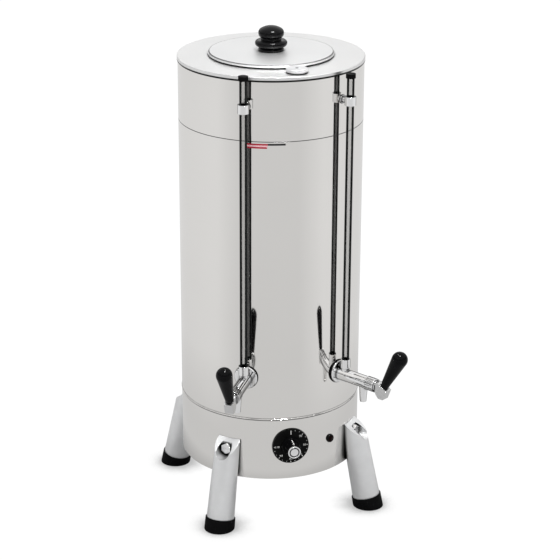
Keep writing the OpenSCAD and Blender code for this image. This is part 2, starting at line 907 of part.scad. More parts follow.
module thermostat_bulb() {
    top_z = dial_z + thermostat_h / 2;
    color(brass)
        outward(dial_angle)
            translate([bulb_r, 0, 0]) {
                translate([0, 0, top_z])
                    cylinder(d = capillary_d, h = floor_z - top_z);
                translate([0, 0, floor_top_z - bulb_thread_l])
                    cylinder(d = bulb_thread_d, h = bulb_thread_l + 1);
                translate([0, 0, floor_top_z])
                    cylinder(d = bulb_gland_d, h = bulb_gland_t);
                translate([0, 0, floor_top_z + 1])
                    cylinder(d = capillary_d, h = bulb_rise);
                translate([0, 0, floor_top_z + bulb_rise])
                    cylinder(d = bulb_d, h = bulb_l);
            }
}

module thermostat_nut() {
    color(brass)
        outward(dial_angle, dial_z)
            difference() {
                hex(dial_front_x, dial_front_x + bush_nut_t, bush_nut_af);
                bar(dial_front_x - 1, bush_x, bush_d + 2 * thread_gap);
            }
}

module dial_plate() {
    color(black_plastic)
        outward(dial_angle, dial_z)
            difference() {
                bar(body_r - dial_t, dial_front_x, dial_d);
                column(body_r + seat_gap);
                bar(body_r - cut_over, dial_front_x + 1, bush_d + 2 * hole_play);
            }
}

module dial_knob() {
    bore = shaft_d + 2 * thread_gap;
    color(black_plastic)
        outward(dial_angle, dial_z)
            difference() {
                union() {
                    taper(knob_start_x, foot_x, dial_knob_foot_d, dial_knob_foot_d - 2);
                    taper(foot_x - 1, knob_end_x, dial_grip_d, dial_grip_d - 2);
                }
                bar(knob_start_x - 1, knob_well_x, knob_well_d);
                difference() {
                    bar(knob_start_x, shaft_x + thread_gap, bore);
                    translate([knob_well_x + 1, -shaft_d, shaft_flat + thread_gap])
                        cube([shaft_x, 2 * shaft_d, shaft_d]);
                }
                bar(knob_end_x - cap_step, knob_end_x + 1, knob_cap_spigot_d + 2 * thread_gap);
            }
}

module dial_knob_cap() {
    color(chrome)
        outward(dial_angle, dial_z)
            difference() {
                union() {
                    bar(knob_end_x - cap_step, knob_end_x + 1, knob_cap_spigot_d);
                    taper(knob_end_x, knob_end_x + knob_cap_t, dial_cap_d, dial_cap_d - 1);
                }
                ring(knob_end_x + knob_cap_t / 2, knob_end_x + cut_over, dial_cap_d - 5, dial_cap_d - 9);
            }
}

module pilot_lamp() {
    color(black_plastic)
        outward(lamp_angle, lamp_z)
            difference() {
                union() {
                    difference() {
                        taper(body_r - 2, body_r + lamp_bezel_t, lamp_d + 1, lamp_d - 1);
                        column(body_r + seat_gap);
                    }
                    bar(inner_r - lamp_body_l, body_r + 1, lamp_body_d);
                }
                bar(body_r + lamp_seat_t, body_r + cut_over, lamp_lens_d + 2 * thread_gap);
            }
}

module pilot_lens() {
    rim_x = body_r + lamp_bezel_t;
    dome_r = (pow(lamp_lens_d / 2, 2) + pow(lamp_dome_h, 2)) / (2 * lamp_dome_h);
    color(dark_lens)
        outward(lamp_angle, lamp_z)
            intersection() {
                translate([rim_x + lamp_dome_h - dome_r, 0, 0])
                    sphere(r = dome_r);
                bar(body_r + lamp_seat_t, rim_x + cut_over, lamp_lens_d);
            }
}

// Moves what is drawn upward along +Z onto a leg's leaning axis, from the floor under its foot
module along_leg(angle) {
    outward(angle)
        translate([foot_r, 0, 0])
            rotate([0, -leg_lean, 0])
                children();
}

// Tapered round bar on the leg's axis, between two lengths along it
module leg_cone(from_l, to_l, extra_r) {
    rate = (leg_high_r - leg_low_r) / (leg_l - foot_sole);
    translate([0, 0, from_l])
        cylinder(
            r1 = leg_low_r + rate * (from_l - foot_sole) + extra_r,
            r2 = leg_low_r + rate * (to_l - foot_sole) + extra_r,
            h = to_l - from_l
        );
}

module leg(angle) {
    color(cast_metal)
        difference() {
            along_leg(angle)
                leg_cone(foot_sole, leg_l, 0);
            along_leg(angle)
                leg_cone(foot_sole - 1, leg_hollow_l, -leg_wall);
            column(body_r + seat_gap);
            outward(angle, leg_head_z)
                translate([body_r, -leg_low_d, 0])
                    rotate([0, leg_head_slope, 0])
                        translate([-leg_low_d, 0, 0])
                            cube([4 * leg_low_d, 2 * leg_low_d, leg_l]);
            outward(angle, leg_bolt_z) {
                bar(bolt_seat_x, bolt_seat_x + leg_l, leg_pocket_d);
                bar(body_r - cut_over, bolt_seat_x + 1, leg_bolt_d + 2 * hole_play);
            }
        }
}

module foot(angle) {
    color(black_rubber)
        difference() {
            along_leg(angle)
                difference() {
                    leg_cone(-foot_h, foot_h, foot_wall);
                    leg_cone(foot_sole, foot_h + 1, seat_gap);
                }
            translate([0, 0, -tall / 2])
                column(tall);
        }
}

module leg_front_left() {
    leg(leg_angles[0]);
}

module leg_front_right() {
    leg(leg_angles[1]);
}

module leg_rear_left() {
    leg(leg_angles[2]);
}

module leg_rear_right() {
    leg(leg_angles[3]);
}

module foot_front_left() {
    foot(leg_angles[0]);
}

module foot_front_right() {
    foot(leg_angles[1]);
}

module foot_rear_left() {
    foot(leg_angles[2]);
}

module foot_rear_right() {
    foot(leg_angles[3]);
}

module leg_bolts() {
    color(chrome)
        for (a = leg_angles)
            outward(a, leg_bolt_z) {
                hex(bolt_seat_x, bolt_seat_x + bolt_head_t, leg_bolt_af);
                bar(bolt_nut_x - bolt_nut_t - bolt_end_over, bolt_seat_x + 1, leg_bolt_d);
            }
}

module leg_washers() {
    color(chrome)
        for (a = leg_angles)
            outward(a, leg_bolt_z)
                intersection() {
                    ring(bolt_nut_x, body_r, bolt_washer_d, leg_bolt_d + 2 * hole_play);
                    column(inner_r - seat_gap);
                }
}

module leg_nuts() {
    color(chrome)
        for (a = leg_angles)
            outward(a, leg_bolt_z)
                difference() {
                    hex(bolt_nut_x - bolt_nut_t, bolt_nut_x, leg_bolt_af);
                    bar(bolt_nut_x - cut_over, bolt_nut_x + 1, leg_bolt_d + 2 * thread_gap);
                }
}

module coffee_outlet_pipe() {
    color(steel)
        at_tap(1, tap_z)
            difference() {
                bar(tank_r - sheet_t, pipe_end_x, pipe_d);
                bar(tank_r - cut_over, pipe_end_x + 1, shank_bore_d);
                bar(shank_end_x, pipe_end_x + 1, shank_d + 2 * thread_gap);
            }
}

// Cast tap body: shank, flange, upright well for the gauge, barrel and spout
module tap_body(tap) {
    color(chrome)
        difference() {
            union() {
                at_tap(tap, tap_z) {
                    bar(shank_end_x, gauge_x, shank_d);
                    bar(flange_x, flange_end_x - flange_rim, flange_d);
                    taper(flange_end_x - flange_rim, flange_end_x, flange_d, flange_d - 2 * flange_rim);
                }
                at_tap(tap)
                    translate([gauge_x, 0, well_low_z])
                        cylinder(d = well_d, h = well_top_z - well_low_z);
                at_tap(tap, barrel_z) {
                    bar(flange_end_x - 1, bonnet_start_x, barrel_d);
                    bar(bonnet_start_x - 1, barrel_end_x, bonnet_thread_d);
                }
                at_tap(tap, spout_z)
                    translate([spout_x, 0, 0])
                        cylinder(d1 = spout_d, d2 = spout_root_d, h = barrel_z - spout_z);
            }
            at_tap(tap, tap_z)
                bar(shank_end_x - 1, gauge_x, shank_bore_d);
            at_tap(tap)
                translate([gauge_x, 0, 0]) {
                    translate([0, 0, barrel_z])
                        cylinder(d = well_bore_d, h = well_top_z);
                    translate([0, 0, socket_z])
                        cylinder(d = glass_d + 2 * socket_play, h = well_top_z);
                }
            at_tap(tap, barrel_z) {
                bar(gauge_x, seat_x + 1, seat_bore_d);
                bar(seat_x, barrel_end_x + 1, chamber_d);
            }
            at_tap(tap, spout_z - 1)
                translate([spout_x, 0, 0])
                    cylinder(d = spout_bore_d, h = barrel_z - spout_z + 1);
        }
}

module water_tap_body() {
    tap_body(0);
}

module coffee_tap_body() {
    tap_body(1);
}

module tap_gaskets() {
    color(black_rubber)
        for (tap = [0, 1])
            at_tap(tap, tap_z)
                difference() {
                    ring(body_r - flange_t, flange_x, flange_d + gasket_lip, shank_d + 2 * hole_play);
                    column(body_r + seat_gap);
                }
}

module tap_washers() {
    color(chrome)
        for (tap = [0, 1])
            at_tap(tap, tap_z)
                intersection() {
                    ring(locknut_x, body_r, tap_washer_d, shank_d + 2 * hole_play);
                    column(inner_r - seat_gap);
                }
}

module tap_locknuts() {
    color(brass)
        for (tap = [0, 1])
            at_tap(tap, tap_z)
                difference() {
                    hex(locknut_end_x, locknut_x, locknut_af);
                    bar(locknut_end_x - 1, locknut_x + 1, shank_d + 2 * thread_gap);
                }
}

// Knurled bonnet that closes the barrel and guides the stem
module tap_bonnets() {
    color(chrome)
        for (tap = [0, 1])
            at_tap(tap, barrel_z)
                difference() {
                    union() {
                        bar(bonnet_start_x, bonnet_grip_end_x, bonnet_d);
                        bar(bonnet_grip_end_x - 1, bonnet_nose_x, bonnet_nose_d);
                    }
                    bar(bonnet_start_x - 1, barrel_end_x, bonnet_thread_d + 2 * thread_gap);
                    bar(barrel_end_x - 1, bonnet_nose_x + 1, stem_d + 2 * stem_play);
                    for (i = [0 : knurl_count - 1])
                        rotate([360 * i / knurl_count, 0, 0])
                            translate([0, 0, bonnet_d / 2])
                                bar(bonnet_start_x + 2, bonnet_grip_end_x - 2, knurl_groove_d);
                }
}

module stem(tap) {
    color(brass)
        at_tap(tap, barrel_z)
            difference() {
                union() {
                    bar(head_x - seal_spigot_l, head_x + 1, seal_spigot_d);
                    bar(head_x, head_x + head_t, head_d);
                    bar(head_x + head_t - 1, pin_x - flat_l, stem_d);
                    intersection() {
                        bar(pin_x - flat_l - 1, pin_x, stem_d);
                        translate([pin_x - flat_l - 2, -eye_t / 2, -stem_d])
                            cube([flat_l + 2, eye_t, 2 * stem_d]);
                    }
                    translate([pin_x, eye_t / 2, 0])
                        rotate([90, 0, 0])
                            cylinder(d = eye_d, h = eye_t);
                }
                translate([pin_x, eye_t, 0])
                    rotate([90, 0, 0])
                        cylinder(d = pin_d + 2 * pin_play, h = 2 * eye_t);
            }
}

module water_stem() {
    stem(0);
}

module coffee_stem() {
    stem(1);
}

module valve_seal(tap) {
    color(black_rubber)
        at_tap(tap, barrel_z)
            difference() {
                bar(seat_x, head_x, seal_d);
                bar(head_x - seal_spigot_l, head_x + 1, seal_spigot_d + 2 * thread_gap);
            }
}

module water_valve_seal() {
    valve_seal(0);
}

module coffee_valve_seal() {
    valve_seal(1);
}

// Closing spring: one wire wound evenly along X
module closing_spring(tap) {
    wire_r = spring_wire_d / 2;
    start_x = spring_start_x + wire_r + spring_end_gap;
    rings = spring_turns * spring_steps;
    pitch = (spring_l - spring_wire_d - 2 * spring_end_gap) / spring_turns;
    points = [
        for (i = [0 : rings], j = [0 : spring_sides - 1])
            let (turn = 360 * i / spring_steps, side = 360 * j / spring_sides)
            let (r = spring_d / 2 + wire_r * cos(side))
            [start_x + pitch * i / spring_steps + wire_r * sin(side), r * cos(turn), r * sin(turn)]
    ];
    last = rings * spring_sides;
    walls = [
        for (i = [0 : rings - 1], j = [0 : spring_sides - 1], half = [0, 1])
            let (a = i * spring_sides + j)
            let (b = i * spring_sides + (j + 1) % spring_sides)
            half == 0 ? [a, b, b + spring_sides] : [a, b + spring_sides, a + spring_sides]
    ];
    start_cap = [for (j = [1 : spring_sides - 2]) [0, j + 1, j]];
    end_cap = [for (j = [1 : spring_sides - 2]) [last, last + j, last + j + 1]];
    echo(gap_between_turns = pitch - spring_wire_d);
    color(chrome)
        at_tap(tap, barrel_z)
            polyhedron(points = points, faces = concat(walls, start_cap, end_cap), convexity = 10);
}

module water_spring() {
    closing_spring(0);
}

module coffee_spring() {
    closing_spring(1);
}

// Distance from the lever pin to the bonnet's nose when the lever has turned by an angle
function cam_reach(turn) = cam_rest + cam_rate * turn * PI / 180;

// Point of the cam that touches the nose when the lever has turned by an angle
function cam_point(turn) = [
    -cam_reach(turn) * cos(turn) + cam_rate * sin(turn),
    -cam_reach(turn) * sin(turn) - cam_rate * cos(turn)
];

// Side outline of the lever block about its pin: flat face, cam, toe, and the face under the handle
function lever_outline() =
    let (
        last = cam_point(lever_travel),
        run = (lever_low + last[1]) / cos(lever_travel),
        along_face = [-sin(handle_angle), cos(handle_angle)]
    )
    concat(
        [[-cam_rest, lever_top]],
        [for (turn = [0 : lever_travel / 6 : lever_travel]) cam_point(turn)],
        [
            last + run * [sin(lever_travel), -cos(lever_travel)],
            [lever_toe, -lever_low],
            lever_heel,
            lever_heel + lever_face_w * along_face
        ]
    );

// Point in the middle of the face under the handle
function handle_start() = lever_heel + lever_face_w / 2 * [-sin(handle_angle), cos(handle_angle)];

// Moves what is drawn upward along +Z onto the handle's axis, from the lever block's face
module along_handle(tap) {
    start = handle_start();
    at_tap(tap, barrel_z)
        translate([pin_x + start[0], 0, start[1]])
            rotate([0, 90 - handle_angle, 0])
                children();
}

module lever(tap) {
    color(cast_metal) {
        at_tap(tap, barrel_z)
            translate([pin_x, 0, 0])
                difference() {
                    translate([0, lever_w / 2, 0])
                        rotate([90, 0, 0])
                            linear_extrude(height = lever_w)
                                polygon(lever_outline());
                    translate([-lever_low, -eye_t / 2 - eye_slot_play, -2 * lever_low])
                        cube([lever_low + slot_room, eye_t + 2 * eye_slot_play, 2 * lever_low + slot_room]);
                    translate([0, lever_w, 0])
                        rotate([90, 0, 0])
                            cylinder(d = pin_d + 2 * pin_press, h = 2 * lever_w);
                }
        along_handle(tap)
            translate([0, 0, -1])
                cylinder(d = stud_d, h = stud_l + 1);
    }
}

module water_lever() {
    lever(0);
}

module coffee_lever() {
    lever(1);
}

module lever_pin(tap) {
    color(chrome)
        at_tap(tap, barrel_z)
            translate([pin_x, lever_w / 2, 0])
                rotate([90, 0, 0])
                    cylinder(d = pin_d, h = lever_w);
}

module water_lever_pin() {
    lever_pin(0);
}

module coffee_lever_pin() {
    lever_pin(1);
}

// Handle that widens evenly from its thin end and runs smoothly into its round end
module handle(tap) {
    end_l = handle_l - handle_end_r;
    reach = sqrt(end_l * end_l + handle_low_r * handle_low_r);
    taper = asin(handle_end_r / reach) - atan(handle_low_r / end_l);
    color(black_plastic)
        along_handle(tap)
            difference() {
                union() {
                    cylinder(
                        r1 = handle_low_r, r2 = handle_end_r * cos(taper),
                        h = end_l - handle_end_r * sin(taper)
                    );
                    translate([0, 0, end_l])
                        sphere(r = handle_end_r);
                }
                translate([0, 0, -1])
                    cylinder(d = stud_d + 2 * stud_play, h = stud_l + 2);
            }
}

module water_handle() {
    handle(0);
}

module coffee_handle() {
    handle(1);
}

// Draws the same upright piece at both gauges, at each tap's own height
module at_gauges() {
    for (tap = [0, 1])
        at_tap(tap)
            translate([gauge_x, 0, 0])
                children();
}

module gauge_glasses() {
    color(clear_glass)
        at_gauges()
            sleeve(socket_z, glass_top_z, glass_d, glass_d - 2 * glass_t);
}

module gauge_nuts() {
    color(chrome)
        at_gauges()
            difference() {
                translate([0, 0, gauge_nut_z])
                    cylinder(d = gauge_nut_d, h = gauge_nut_top_z - gauge_nut_z);
                translate([0, 0, gauge_nut_z - 1])
                    cylinder(d = well_d + 2 * thread_gap, h = gauge_nut_roof_z - gauge_nut_z + 1);
                translate([0, 0, gauge_nut_z])
                    cylinder(d = glass_d + 2 * hole_play, h = tall);
            }
}

module gauge_seals() {
    color(black_rubber)
        at_gauges()
            sleeve(well_top_z, gauge_nut_roof_z, well_d, glass_d + 2 * seat_gap);
}

module gauge_caps() {
    color(black_rubber)
        at_gauges()
            translate([0, 0, gauge_cap_z])
                difference() {
                    cylinder(d = gauge_cap_d, h = gauge_cap_h);
                    translate([0, 0, -gauge_cap_roof])
                        cylinder(d = glass_d + 2 * gauge_cap_play, h = gauge_cap_h);
                }
}

module gauge_brackets() {
    color(chrome)
        for (angle = tap_angles)
            outward(angle, bracket_z)
                difference() {
                    union() {
                        translate([gauge_x, 0, -bracket_ring_h / 2])
                            cylinder(d = bracket_ring_d, h = bracket_ring_h);
                        difference() {
                            union() {
                                bar(body_r - 1, gauge_x, bracket_arm_d);
                                bar(body_r - 1, body_r + bracket_foot_t, bracket_foot_d);
                            }
                            column(body_r + seat_gap);
                        }
                        bar(inner_r - bracket_stud_l, gauge_x, bracket_stud_d);
                    }
                    translate([gauge_x, 0, -bracket_ring_h])
                        cylinder(d = glass_d + 2 * ring_play, h = 2 * bracket_ring_h);
                }
}

module bracket_nuts() {
    nut_x = inner_r - seat_gap - pow(bracket_nut_af / cos(30), 2) / (8 * inner_r);
    color(chrome)
        for (angle = tap_angles)
            outward(angle, bracket_z)
                difference() {
                    hex(nut_x - bracket_nut_t, nut_x, bracket_nut_af);
                    bar(nut_x - cut_over, nut_x + 1, bracket_stud_d + 2 * thread_gap);
                }
}

base_skirt();
body_shell();
upper_shell();
deck();
coffee_tank();
boiler_floor();
bottom_cover();
cover_screws();
cord_grommet();
fill_neck();
fill_cap();
lid();
lid_knob();
lid_knob_screw();
heating_element();
thermostat();
thermostat_bulb();
thermostat_nut();
dial_plate();
dial_spindle();
dial_knob();
dial_knob_cap();
pilot_lamp();
pilot_lens();
leg_front_left();
leg_front_right();
leg_rear_left();
leg_rear_right();
foot_front_left();
foot_front_right();
foot_rear_left();
foot_rear_right();
leg_bolts();
leg_washers();
leg_nuts();
coffee_outlet_pipe();
water_tap_body();
coffee_tap_body();
tap_gaskets();
tap_washers();
tap_locknuts();
tap_bonnets();
water_stem();
coffee_stem();
water_valve_seal();
coffee_valve_seal();
water_spring();
coffee_spring();
water_lever();
coffee_lever();
water_lever_pin();
coffee_lever_pin();
water_handle();
coffee_handle();
gauge_glasses();
gauge_nuts();
gauge_seals();
gauge_caps();
gauge_brackets();
bracket_nuts();
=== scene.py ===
"""Looks of the coffee urn: materials for its solids, dial print, level mark, springs, studio and camera."""
import math

import bpy
from mathutils import Matrix, Vector


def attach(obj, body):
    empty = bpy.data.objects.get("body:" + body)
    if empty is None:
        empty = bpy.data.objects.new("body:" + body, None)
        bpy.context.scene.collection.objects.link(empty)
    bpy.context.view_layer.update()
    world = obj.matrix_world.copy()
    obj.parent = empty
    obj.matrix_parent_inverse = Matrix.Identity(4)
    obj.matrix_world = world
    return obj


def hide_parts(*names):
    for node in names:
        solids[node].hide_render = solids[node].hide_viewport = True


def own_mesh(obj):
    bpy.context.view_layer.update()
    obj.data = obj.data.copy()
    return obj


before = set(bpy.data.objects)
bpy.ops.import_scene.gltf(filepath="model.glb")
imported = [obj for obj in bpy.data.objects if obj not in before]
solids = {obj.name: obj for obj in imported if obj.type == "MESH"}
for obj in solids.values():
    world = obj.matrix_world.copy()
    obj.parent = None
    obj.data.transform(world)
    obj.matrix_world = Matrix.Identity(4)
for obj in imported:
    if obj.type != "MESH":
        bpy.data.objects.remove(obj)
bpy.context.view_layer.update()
scene = bpy.context.scene

MM = 0.001
UP = Vector((0, 0, 1))

# The photograph's side of the urn, in degrees from its front
VIEW_ANGLE = -19.0

# Sizes shared with the solids, in millimetres and degrees
BODY_R = 150.0
TAPS = {"water": (-33.5, 260.0), "coffee": (29.5, 252.0)}
SPRING_FROM, SPRING_TO = 187.0, 220.0
SPRING_MEAN_R, SPRING_WIRE_R, SPRING_TURNS = 5.0, 0.5, 7
DIAL_ANGLE, DIAL_Z, DIAL_FRONT = -5.5, 140.5, 152.5
KNOB_FOOT, KNOB_END = 158.0, 176.5
GRIP_FOOT_R, GRIP_END_R = 13.5, 12.5
CAP_GROOVE, CAP_GROOVE_R = 177.3, (6.5, 8.5)
UPPER_SEAM_Z, LOWER_SEAM_Z, RIM_Z = 661.0, 186.8, 757.0
LID_FOOT_Z, CAP_FOOT_Z = 765.0, 764.8


def outward(angle):
    """Horizontal direction away from the body's axis, at an angle from the front."""
    t = math.radians(angle)
    return Vector((math.sin(t), -math.cos(t), 0))


def sideways(angle):
    """Horizontal direction along the wall, to the right seen from outside."""
    t = math.radians(angle)
    return Vector((math.cos(t), math.sin(t), 0))


def grey(value):
    return (value, value, value)


def scaled(colour, factor):
    return tuple(factor * c for c in colour)


# Materials. Lengths in them are metres, unless a name or a note says millimetres.

# Range of ambient light over which the painted corner shade goes from dark to the surface's own colour
CORNER_LIGHT = (0.42, 0.84)
# Share of a painted shade line or painted shade spot that is fully dark
LINE_CORE, SPOT_CORE = 0.6, 0.8
AO_SAMPLES, BEVEL_SAMPLES = 8, 4


class Shader:
    """A new material with short calls for its nodes."""

    def __init__(self, name):
        self.material = bpy.data.materials.new(name)
        self.material.use_nodes = True
        self.tree = self.material.node_tree
        self.surface = self.tree.nodes["Principled BSDF"]

    def add(self, kind, inputs=None, **settings):
        """A new node with its settings and inputs."""
        made = self.tree.nodes.new(kind)
        for key, value in settings.items():
            setattr(made, key, value)
        for key, value in (inputs or {}).items():
            self.put(made.inputs[key], value)
        return made

    def put(self, socket, value):
        """Link a socket to another, or set its number."""
        if isinstance(value, bpy.types.NodeSocket):
            self.tree.links.new(value, socket)
        else:
            socket.default_value = value

    def set(self, **values):
        """Put values on the surface, with _ for each space in the sockets' names."""
        for key, value in values.items():
            self.put(self.surface.inputs[key.replace("_", " ")], value)

    def emit(self, strength):
        """An emission in place of the surface."""
        self.tree.nodes.remove(self.surface)
        return self.add("ShaderNodeEmission", {"Strength": strength})

    def show(self, shader):
        """Make a shader node the material's result."""
        self.tree.links.new(shader.outputs[0], self.tree.nodes["Material Output"].inputs["Surface"])

    def place(self, scale=(1, 1, 1)):
        """The solid's own coordinates in metres, stretched by a scale."""
        coords = self.add("ShaderNodeTexCoord").outputs["Object"]
        return self.add("ShaderNodeMapping", {"Vector": coords, "Scale": scale}).outputs["Vector"]

    def noise(self, vector, scale, detail=3.0, roughness=0.5):
        inputs = {"Vector": vector, "Scale": scale, "Detail": detail, "Roughness": roughness}
        return self.add("ShaderNodeTexNoise", inputs).outputs["Fac"]

    def between(self, factor, low, high, start=0.3, end=0.7):
        """A number that goes from low to high as the factor goes from start to end."""
        inputs = {"Value": factor, "From Min": start, "From Max": end, "To Min": low, "To Max": high}
        return self.add("ShaderNodeMapRange", inputs).outputs["Result"]

    def tint(self, factor, low, high):
        """A colour that goes from low to high as the factor goes from 0 to 1."""
        made = self.add("ShaderNodeMix", data_type="RGBA")
        self.put(made.inputs["Factor"], factor)
        for key, colour in (("A", low), ("B", high)):
            self.put(made.inputs[key], (*colour, 1) if isinstance(colour, tuple) else colour)
        return made.outputs["Result"]

    def calc(self, operation, a, b=0.0):
        return self.add("ShaderNodeMath", {0: a, 1: b}, operation=operation).outputs[0]

    def plus(self, a, b):
        return self.calc("ADD", a, b)

    def minus(self, a, b):
        return self.calc("SUBTRACT", a, b)

    def times(self, a, b):
        return self.calc("MULTIPLY", a, b)

    def measure(self, operation, a, b=(0, 0, 0)):
        """A number from one or two vectors."""
        return self.add("ShaderNodeVectorMath", {0: a, 1: b}, operation=operation).outputs["Value"]

    def facing(self):
        """0 where the surface faces the view, 1 at a grazing view."""
        return self.add("ShaderNodeLayerWeight", {"Blend": 0.5}).outputs["Facing"]

    def openness(self, reach):
        """Ambient light within a reach, 1 in the open."""
        return self.add("ShaderNodeAmbientOcclusion", {"Distance": reach}, samples=AO_SAMPLES).outputs["AO"]

    def soft_edges(self, radius):
        return self.add("ShaderNodeBevel", {"Radius": radius}, samples=BEVEL_SAMPLES).outputs["Normal"]

    def bump(self, height, strength, distance, normal=None):
        made = self.add("ShaderNodeBump", {"Height": height, "Strength": strength, "Distance": distance})
        if normal:
            self.put(made.inputs["Normal"], normal)
        return made.outputs["Normal"]

    def painted_corner_shade(self, colour, reach, low):
        """The colour with painted shade: darker in corners and seams that are narrower than the reach."""
        return self.tint(self.between(self.openness(reach), 0, 1, *CORNER_LIGHT), grey(low), colour)

    def painted_shade_lines(self, colour, coordinate, lines):
        """The colour, with thin lines of painted shade across a coordinate: (place, half width, tone)."""
        for place, half, low in lines:
            off = self.calc("ABSOLUTE", self.minus(coordinate, place))
            colour = self.tint(self.between(off, 0, 1, LINE_CORE * half, half), grey(low), colour)
        return colour

    def painted_shade_seams(self, colour, seams):
        """The colour, with thin lines of painted shade at heights in millimetres: (height, half width, tone)."""
        height = self.add("ShaderNodeSeparateXYZ", {"Vector": self.place()}).outputs["Z"]
        return self.painted_shade_lines(colour, height, [(z * MM, half * MM, low) for z, half, low in seams])

    def painted_shade_rings(self, colour, rings):
        """The colour, with thin rings of painted shade around the solid's axis: (radius, half width, tone)."""
        return self.painted_shade_lines(colour, self.measure("LENGTH", self.place((1, 1, 0))), rings)

    def painted_spot_shade(self, colour, centre, radius, low):
        """The colour, with a spot of painted shade around an upright line through a centre."""
        off = self.measure("DISTANCE", self.place((1, 1, 0)), centre)
        return self.tint(self.between(off, 0, 1, SPOT_CORE * radius, radius), grey(low), colour)


def polished_sheet(name, base, rough, lines, corners, seams=(), rings=()):
    """Rolled and polished steel: fine lines along the rolling, faint wiped clouds."""
    s = Shader(name)
    grain = s.noise(s.place(lines), scale=1.0, detail=2.0)
    clouds = s.noise(s.place(), scale=9.0, detail=4.0, roughness=0.55)
    wear = s.plus(s.times(grain, 0.35), s.times(clouds, 0.65))
    s.set(Metallic=1.0, Roughness=s.between(wear, *rough))
    sheet = s.tint(s.between(wear, 0, 1), scaled(base, 0.975), base)
    # painted shade lines at seams and rings
    sheet = s.painted_shade_rings(s.painted_shade_seams(sheet, seams), rings)
    # painted shade in corners and seams
    s.set(Base_Color=s.painted_corner_shade(sheet, reach=corners, low=0.02))
    s.set(Normal=s.bump(grain, strength=0.02, distance=0.0001, normal=s.soft_edges(0.0004)))
    return s.material


# Range of the view's slant over which a metal with a rim goes dark: a painted dark reflection at grazing views
DARK_REFLECTION_SLANT = (0.54, 0.74)


def plated(name, base, rough, grain_scale, edge=0.0005, bump=0.03, corners=0.004, rim=1.0,
           shade_spot=None, seams=(), metallic=1.0):
    """Plated or cast metal with a fine grain and small stains. A rim under 1 darkens the colour at a grazing view, a
    painted dark reflection along the edges.
    """
    s = Shader(name)
    grain = s.noise(s.place(), grain_scale)
    stains = s.noise(s.place(), scale=45.0, detail=5.0, roughness=0.6)
    s.set(Metallic=metallic, Roughness=s.between(stains, *rough))
    metal = s.tint(s.between(stains, 0, 1), scaled(base, 0.93), base)
    # painted dark reflection towards grazing views
    if rim < 1:
        metal = s.tint(s.between(s.facing(), 0, 1, *DARK_REFLECTION_SLANT), metal, scaled(base, rim))
    # painted shade around a hole
    if shade_spot:
        metal = s.painted_spot_shade(metal, *shade_spot, low=0.0)
    # painted shade lines at seams
    metal = s.painted_shade_seams(metal, seams)
    # painted shade in corners and seams
    s.set(Base_Color=s.painted_corner_shade(metal, reach=corners, low=0.01))
    s.set(Normal=s.bump(grain, bump, distance=0.0002, normal=s.soft_edges(edge)))
    return s.material


def moulded(name, base, rough, grain_scale, bump, specular, edge=0.0006):
    """Moulded plastic or rubber: dark body colour with faint mottling, grain in its skin."""
    s = Shader(name)
    grain = s.noise(s.place(), grain_scale, detail=2.0)
    mottle = s.noise(s.place(), scale=60.0, detail=4.0)
    s.set(Roughness=s.between(mottle, *rough), Specular_IOR_Level=specular)
    s.set(Base_Color=s.tint(s.between(mottle, 0, 1), scaled(base, 0.7), base))
    s.set(Normal=s.bump(grain, bump, distance=0.0002, normal=s.soft_edges(edge)))
    return s.material


# Alpha of the gauge glass in its middle, what a mirrored view adds, and the slant where it goes solid: painted dark
# edges and a painted darker mirror image
GLASS_CLEAR, GLASS_MIRRORED, GLASS_SLANT = 0.09, 0.33, (0.13, 0.3)


def gauge_glass(name):
    """Clear glass tube: see-through in the middle, with painted shade towards its edges for the dark refraction of
    thick glass, and painted denser where the body mirrors it, as a darker reflection."""
    s = Shader(name)
    streaks = s.noise(s.place((400, 400, 6)), scale=1.0, detail=2.0)
    s.set(Base_Color=s.tint(s.between(streaks, 0, 1), (0.004, 0.005, 0.005), (0.012, 0.014, 0.014)))
    s.set(Roughness=s.between(streaks, 0.02, 0.05), IOR=1.2, Specular_IOR_Level=0.1)
    # painted darker reflection: the glass is denser to reflected rays
    mirrored = s.add("ShaderNodeLightPath").outputs["Is Glossy Ray"]
    clear = s.plus(s.times(mirrored, GLASS_MIRRORED), GLASS_CLEAR)
    s.set(Alpha=s.between(s.facing(), clear, 1.0, *GLASS_SLANT))
    return s.material


def lens(name):
    """Dark red lens with a faint pattern."""
    s = Shader(name)
    ribs = s.noise(s.place((900, 900, 900)), scale=1.0, detail=1.0)
    s.set(Base_Color=s.tint(ribs, (0.002, 0.0006, 0.0006), (0.008, 0.001, 0.001)))
    s.set(Roughness=0.12, Specular_IOR_Level=0.04)
    s.set(Normal=s.bump(ribs, strength=0.05, distance=0.0002))
    return s.material


def ink(name, base):
    """Screen-printed ink, slightly uneven."""
    s = Shader(name)
    cover = s.noise(s.place(), scale=900.0)
    s.set(Base_Color=s.tint(s.between(cover, 0, 1), scaled(base, 0.88), base))
    s.set(Roughness=s.between(cover, 0.35, 0.5), Specular_IOR_Level=0.3)
    return s.material


STEEL, BAKELITE = (0.86, 0.845, 0.824), (0.004, 0.004, 0.0045)
# Scales of the grain: around the body, and the same all ways
BANDED, EVEN = (7, 7, 1900), (420, 420, 420)
# Painted shade lines at seams and edges of the solids, where shade falls in the gaps: (height, half width, tone),
# heights and widths in millimetres
BODY_SHADE_LINES = [(UPPER_SEAM_Z, 0.8, 0.2), (RIM_Z - 0.5, 1.0, 0.02), (LOWER_SEAM_Z, 0.8, 0.16)]
DECK_SHADE_LINES = [(RIM_Z + 0.9, 1.3, 0.02)]
LID_SHADE_LINES, CAP_SHADE_LINES = [(LID_FOOT_Z, 1.4, 0.01)], [(CAP_FOOT_Z, 1.2, 0.01)]
